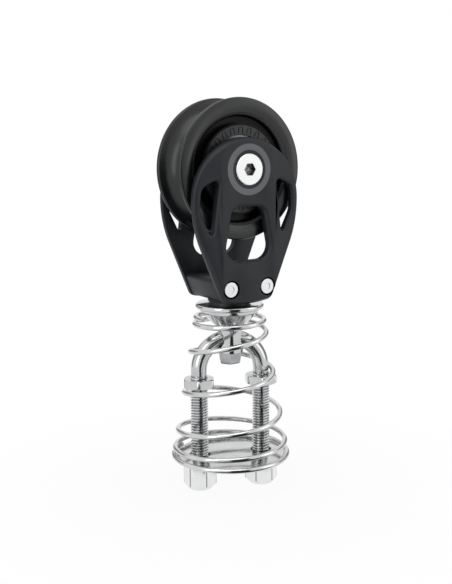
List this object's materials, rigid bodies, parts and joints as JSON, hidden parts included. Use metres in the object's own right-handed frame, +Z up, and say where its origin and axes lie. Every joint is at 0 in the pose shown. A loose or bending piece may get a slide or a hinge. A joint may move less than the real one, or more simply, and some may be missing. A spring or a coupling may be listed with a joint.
{
  "type": "stand-up block",
  "caption": "Black rope sheave block between two windowed cheeks, swivelling on a toggle that a conical spring stands up over a U-bolt deck base.",
  "frame": {"origin": "centre of the base disc's underside, on the deck", "axes": "+Z up through the spring, +Y along the sheave's axle towards the back cheek, +X across the sheave"},
  "size_m": [0.06, 0.0529, 0.1726],
  "materials": {
    "cheek_black": "satin",
    "sheave_black": "satin",
    "polished_steel": "polished",
    "spring_steel": "polished",
    "satin_steel": "satin",
    "race_steel": "satin",
    "ball_plastic": "gloss",
    "ring_plastic": "matt",
    "liner_plastic": "matt",
    "insert_nylon": "satin"
  },
  "bodies": {
    "base": {"u_bolt": "polished_steel", "base_disc": "polished_steel", "upper_nut_left": "polished_steel", "upper_nut_right": "polished_steel", "lock_nut_left": "polished_steel", "lock_nut_right": "polished_steel", "lock_insert_left": "insert_nylon", "lock_insert_right": "insert_nylon"},
    "coil": {"spring": "spring_steel"},
    "toggle": {"toggle": "polished_steel", "swivel_bolt": "polished_steel", "lower_washer": "ring_plastic"},
    "block": {"cheek_front": "cheek_black", "cheek_back": "cheek_black", "head_block": "cheek_black", "head_rivet_left": "satin_steel", "head_rivet_right": "satin_steel", "swivel_bushing": "ring_plastic", "upper_washer": "ring_plastic", "axle_sleeve": "satin_steel", "axle_screw_front": "satin_steel", "axle_screw_back": "satin_steel", "bearing_core": "race_steel", "inner_race_front": "race_steel", "inner_race_back": "race_steel"},
    "sheave": {"sheave": "sheave_black", "bearing_liner": "liner_plastic", "retainer_front": "ring_plastic", "retainer_back": "ring_plastic"},
    "balls": {"ball_row_front": "ball_plastic", "ball_row_back": "ball_plastic"}
  },
  "joints": [
    {"name": "lean_side", "type": "hinge", "parent": "base", "child": "coil", "pos_m": [0, 0, 0.04], "axis": [0.309, 0.9511, 0], "range_deg": [-25, 25], "stiffness_Nm_per_rad": 1, "deforming": ["spring"]},
    {"name": "lean_fore", "type": "hinge", "parent": "coil", "child": "toggle", "pos_m": [0, 0, 0.05425], "axis": [0.9511, -0.309, 0], "range_deg": [-40, 40], "stiffness_Nm_per_rad": 1, "deforming": ["spring"]},
    {"name": "swivel", "type": "hinge", "parent": "toggle", "child": "block", "pos_m": [0, 0, 0.0764], "axis": [0, 0, 1], "continuous": true},
    {"name": "sheave_spin", "type": "hinge", "parent": "block", "child": "sheave", "pos_m": [0, 0, 0.1286], "axis": [0, 1, 0], "continuous": true},
    {"name": "ball_orbit", "type": "hinge", "parent": "block", "child": "balls", "pos_m": [0, 0, 0.1286], "axis": [0, 1, 0], "continuous": true}
  ],
  "couplings": [
    {"joint": "ball_orbit", "follows": "sheave_spin", "ratio": 0.5588}
  ]
}
